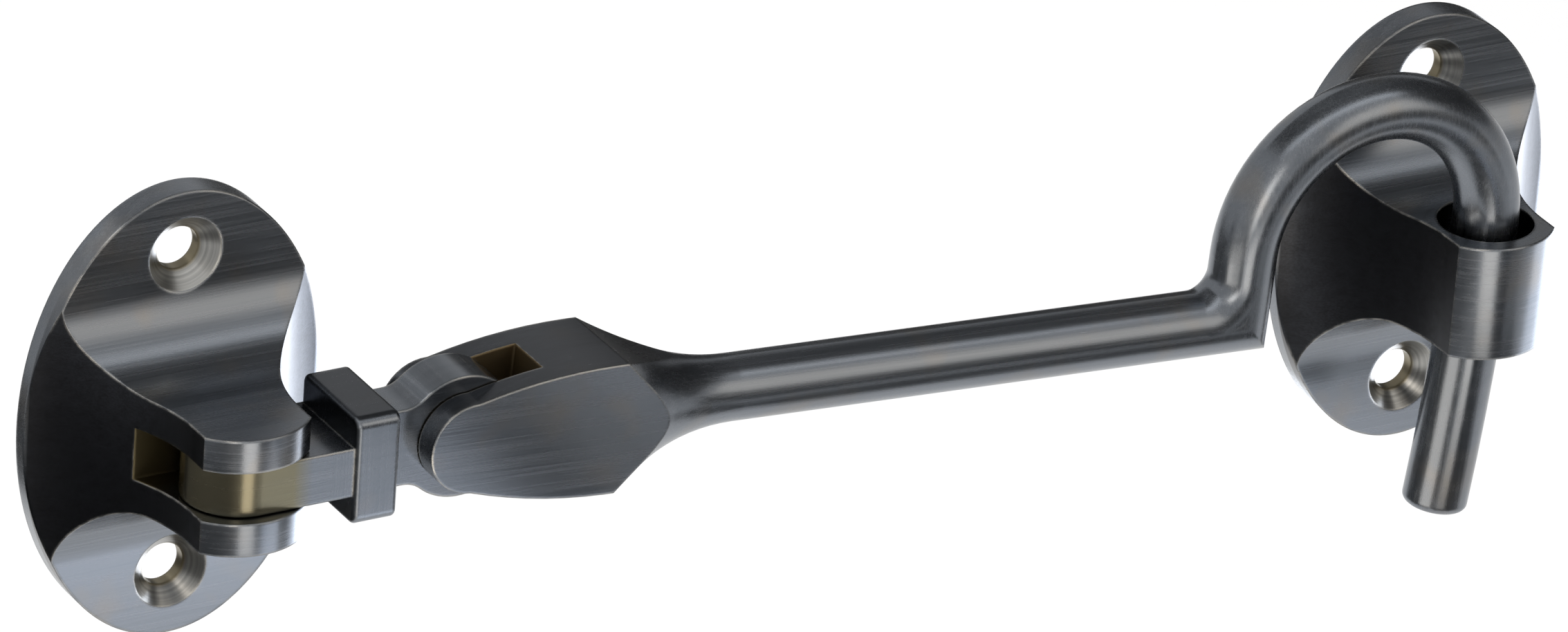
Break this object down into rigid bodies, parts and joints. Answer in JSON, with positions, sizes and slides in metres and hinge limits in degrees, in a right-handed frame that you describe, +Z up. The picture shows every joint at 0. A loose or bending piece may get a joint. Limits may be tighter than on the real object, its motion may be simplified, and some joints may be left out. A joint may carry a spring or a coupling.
{
  "type": "cabin hook",
  "caption": "Cabin hook: an oval pivot plate, a swivel link and a forked arm whose arched tail drops into the eye of a matching oval plate.",
  "frame": {"origin": "on the wall, behind the middle of the pivot plate", "axes": "+X along the wall from the pivot to the eye, +Y into the wall, +Z up"},
  "size_m": [0.1753, 0.0219, 0.0565],
  "materials": {
    "satin_plating": "satin grey plating over brass, brushed",
    "pin": "satin"
  },
  "bodies": {
    "pivot_plate": {"pivot_plate": "satin_plating", "pivot_pin": "pin"},
    "swivel_link": {"swivel_link": "satin_plating"},
    "hook": {"hook": "satin_plating", "fork_pin": "pin"},
    "eye_plate": {"eye_plate": "satin_plating"}
  },
  "joints": [
    {"name": "pivot_swing", "type": "hinge", "parent": "pivot_plate", "child": "swivel_link", "pos_m": [0, -0.0152, 0], "axis": [0, 0, -1], "range_deg": [0, 180]},
    {"name": "hook_lift", "type": "hinge", "parent": "swivel_link", "child": "hook", "pos_m": [0.0233, -0.0152, 0], "axis": [0, -1, 0], "range_deg": [0, 100]},
    {"name": "eye_swivel", "type": "hinge", "parent": "swivel_link", "child": "eye_plate", "pos_m": [0.1433, -0.0152, -0.0065], "axis": [0, 0, -1], "range_deg": [-20, 90]}
  ]
}
